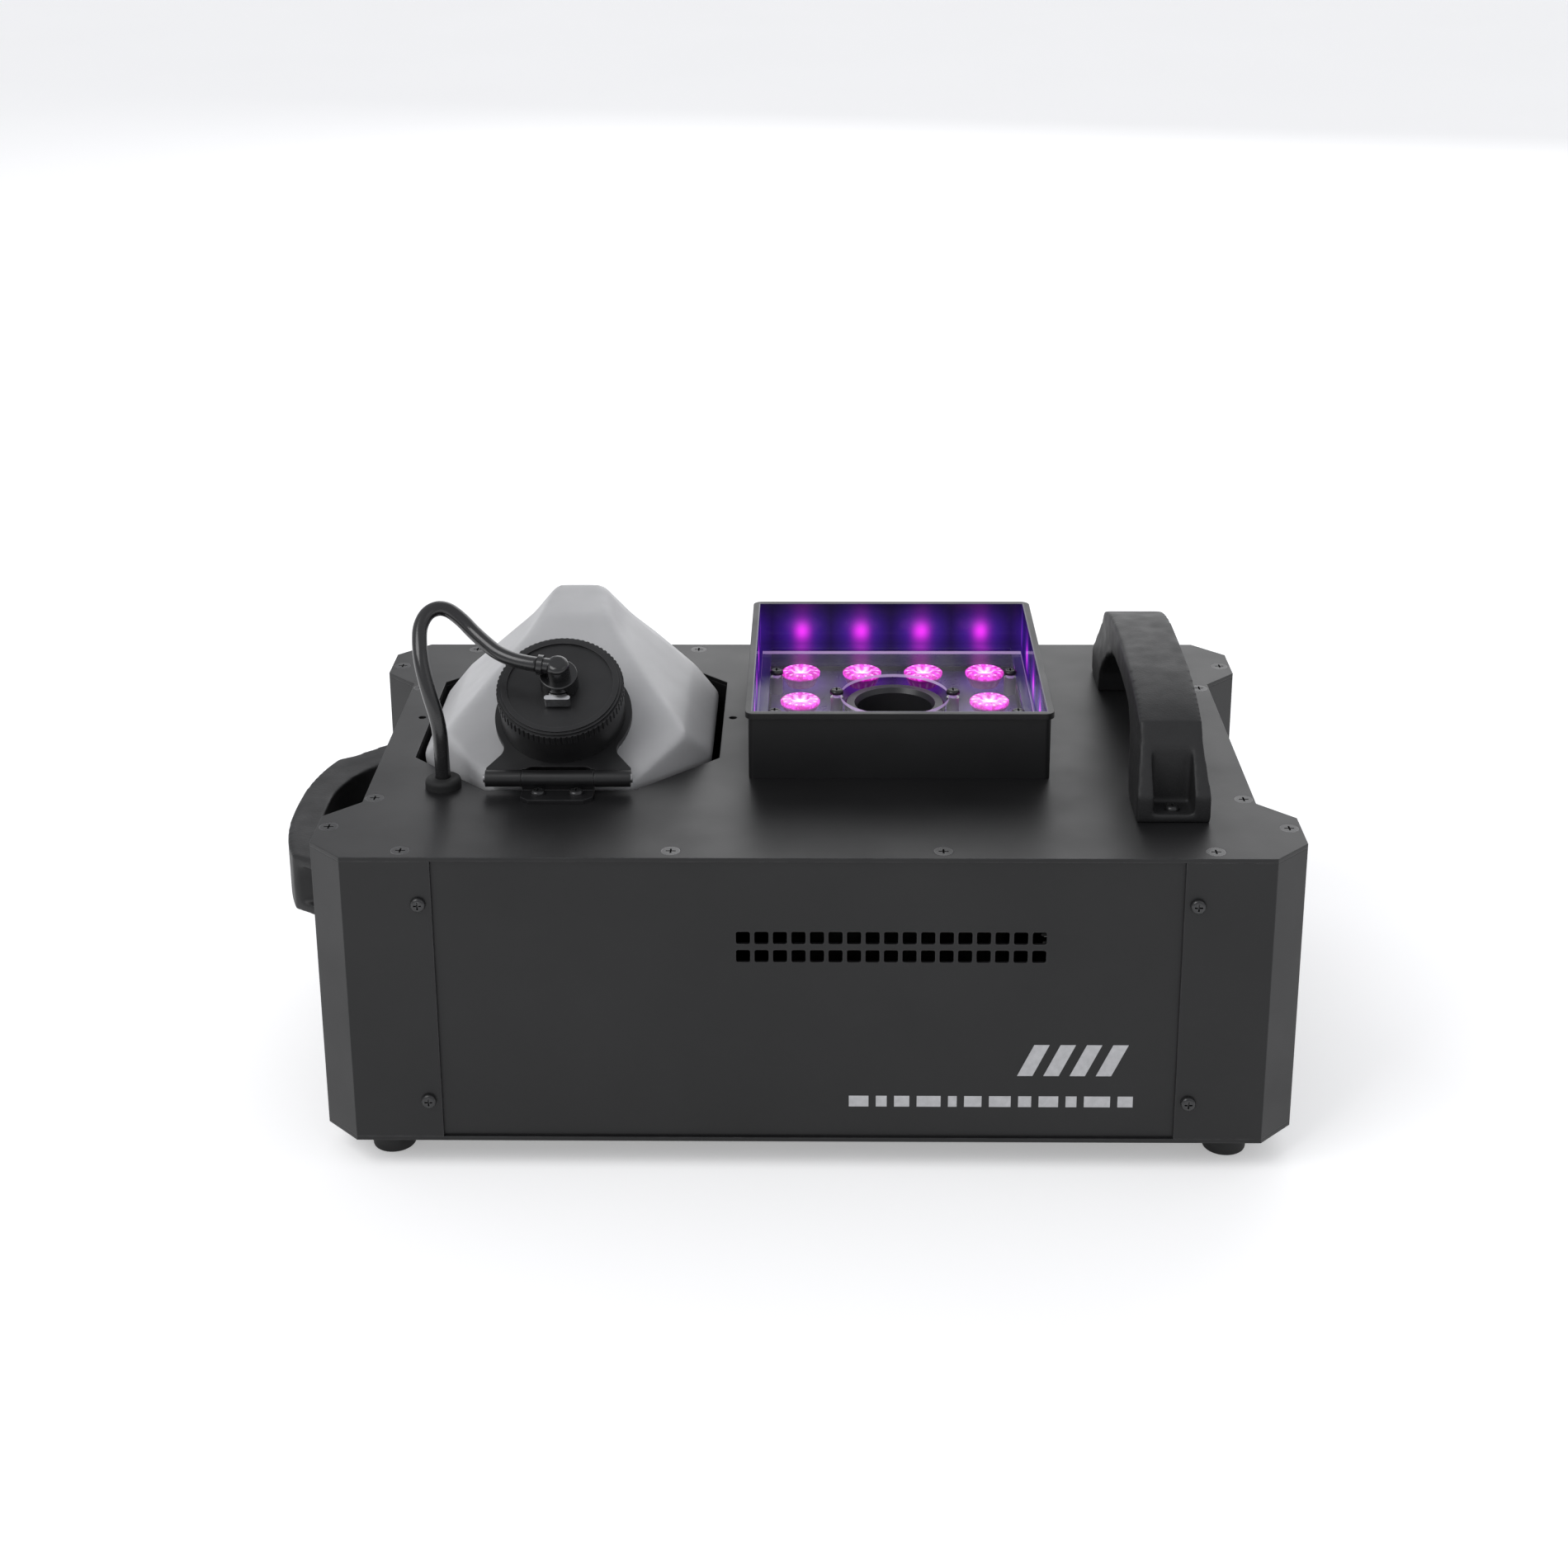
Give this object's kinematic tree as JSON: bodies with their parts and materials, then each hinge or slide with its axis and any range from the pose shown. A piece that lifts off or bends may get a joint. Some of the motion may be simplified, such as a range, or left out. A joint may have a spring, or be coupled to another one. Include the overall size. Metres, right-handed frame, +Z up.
{
  "type": "fog machine",
  "caption": "Low sheet-metal fog machine with an upward nozzle inside a lit square hood, a hinged fluid bottle, two carrying handles and rear sockets.",
  "frame": {"origin": "on the floor under the middle of the sheet-metal body, between the four feet", "axes": "+X along the long side towards the top handle, +Y from the front panel to the rear panel, +Z up"},
  "size_m": [0.483, 0.2757, 0.2424],
  "materials": {
    "body_coat": "satin black powder coat",
    "hood_coat": "satin black outside, gloss black inside",
    "handle_plastic": "textured moulded plastic",
    "screw_black": "black oxide",
    "rubber": "matte",
    "hose_rubber": "glossy black",
    "bottle_plastic": "translucent natural plastic",
    "cap_plastic": "satin moulded plastic",
    "coupling_plastic": "semi-gloss",
    "chrome": "bright plated",
    "hinge_steel": "satin black",
    "nozzle_metal": "satin black",
    "lens": "clear lit lens",
    "window": "clear acrylic",
    "inner_steel": "plated sheet",
    "aluminium": "cast",
    "brass": "turned",
    "board": "solder mask",
    "fan_plastic": "moulded",
    "socket_plastic": "moulded",
    "display": "tinted window",
    "button_plastic": "moulded",
    "tube": "silicone"
  },
  "bodies": {
    "chassis": {"base_plate": "body_coat", "front_panel": "body_coat", "rear_panel": "body_coat", "left_side_cover": "body_coat", "right_side_cover": "body_coat", "top_plate": "body_coat", "top_plate_screws": "screw_black", "panel_screws": "screw_black", "rubber_feet": "rubber", "feet_screws": "screw_black", "top_handle": "handle_plastic", "side_handle": "handle_plastic", "deck_screws": "screw_black", "hood": "hood_coat", "window_frame": "hood_coat", "led_window": "window", "window_screws": "screw_black", "window_spacers": "inner_steel", "led_board": "board", "led_lenses": "lens", "nozzle_cup": "nozzle_metal", "nozzle_jet": "brass", "heater_block": "aluminium", "heater_jacket": "inner_steel", "heater_stands": "inner_steel", "thermal_cutouts": "inner_steel", "pump_body": "inner_steel", "pump_bracket": "inner_steel", "pump_inlet_tube": "tube", "pressure_tube": "tube", "tank_tray": "body_coat", "hinge_leaf": "hinge_steel", "hinge_pin": "inner_steel", "hose_grommet": "rubber", "main_board": "board", "board_spacers": "inner_steel", "power_supply": "inner_steel", "fan_frame": "fan_plastic", "control_bezel": "socket_plastic", "display_window": "display", "dmx_in_socket": "socket_plastic", "dmx_out_socket": "socket_plastic", "mains_inlet": "socket_plastic", "switch_housing": "socket_plastic", "feed_hose": "hose_rubber"},
    "tank": {"tank_bottle": "bottle_plastic", "collar_bracket": "hinge_steel", "coupling_body": "coupling_plastic", "hose_elbow": "coupling_plastic", "pickup_tube": "tube"},
    "cap": {"tank_cap": "cap_plastic"},
    "latch": {"latch_plate": "chrome"},
    "fan": {"fan_rotor": "fan_plastic"},
    "rocker": {"power_rocker": "button_plastic"},
    "fuse": {"fuse_drawer": "socket_plastic"},
    "socket_tab": {"dmx_out_latch": "chrome"},
    "menu": {"menu_button": "button_plastic"},
    "down": {"down_button": "button_plastic"},
    "up": {"up_button": "button_plastic"},
    "enter": {"enter_button": "button_plastic"}
  },
  "joints": [
    {"name": "tank_swing", "type": "hinge", "parent": "chassis", "child": "tank", "pos_m": [-0.118, -0.0635, 0.166], "axis": [1, 0, 0], "range_deg": [0, 70], "deforming": ["feed_hose"]},
    {"name": "cap_turn", "type": "hinge", "parent": "tank", "child": "cap", "pos_m": [-0.118, -0.03102, 0.18475], "axis": [0, -0.5, 0.866], "range_deg": [0, 450]},
    {"name": "latch_press", "type": "slide", "parent": "tank", "child": "latch", "axis": [0, 0.866, 0.5], "range_m": [0, 0.0015], "stiffness_N_per_m": 300, "springref_m": -0.001},
    {"name": "fan_spin", "type": "hinge", "parent": "chassis", "child": "fan", "pos_m": [0.158, 0.1225, 0.093], "axis": [0, 1, 0], "continuous": true},
    {"name": "rocker_switch", "type": "hinge", "parent": "chassis", "child": "rocker", "pos_m": [0.072, 0.1275, 0.057], "axis": [1, 0, 0], "range_deg": [-20, 0]},
    {"name": "fuse_slide", "type": "slide", "parent": "chassis", "child": "fuse", "axis": [0, 1, 0], "range_m": [0, 0.012]},
    {"name": "socket_tab_press", "type": "slide", "parent": "chassis", "child": "socket_tab", "axis": [0, -1, 0], "range_m": [0, 0.0012], "stiffness_N_per_m": 200, "springref_m": -0.001},
    {"name": "menu_press", "type": "slide", "parent": "chassis", "child": "menu", "axis": [0, -1, 0], "range_m": [0, 0.001], "stiffness_N_per_m": 300, "springref_m": -0.001},
    {"name": "down_press", "type": "slide", "parent": "chassis", "child": "down", "axis": [0, -1, 0], "range_m": [0, 0.001], "stiffness_N_per_m": 300, "springref_m": -0.001},
    {"name": "up_press", "type": "slide", "parent": "chassis", "child": "up", "axis": [0, -1, 0], "range_m": [0, 0.001], "stiffness_N_per_m": 300, "springref_m": -0.001},
    {"name": "enter_press", "type": "slide", "parent": "chassis", "child": "enter", "axis": [0, -1, 0], "range_m": [0, 0.001], "stiffness_N_per_m": 300, "springref_m": -0.001}
  ]
}
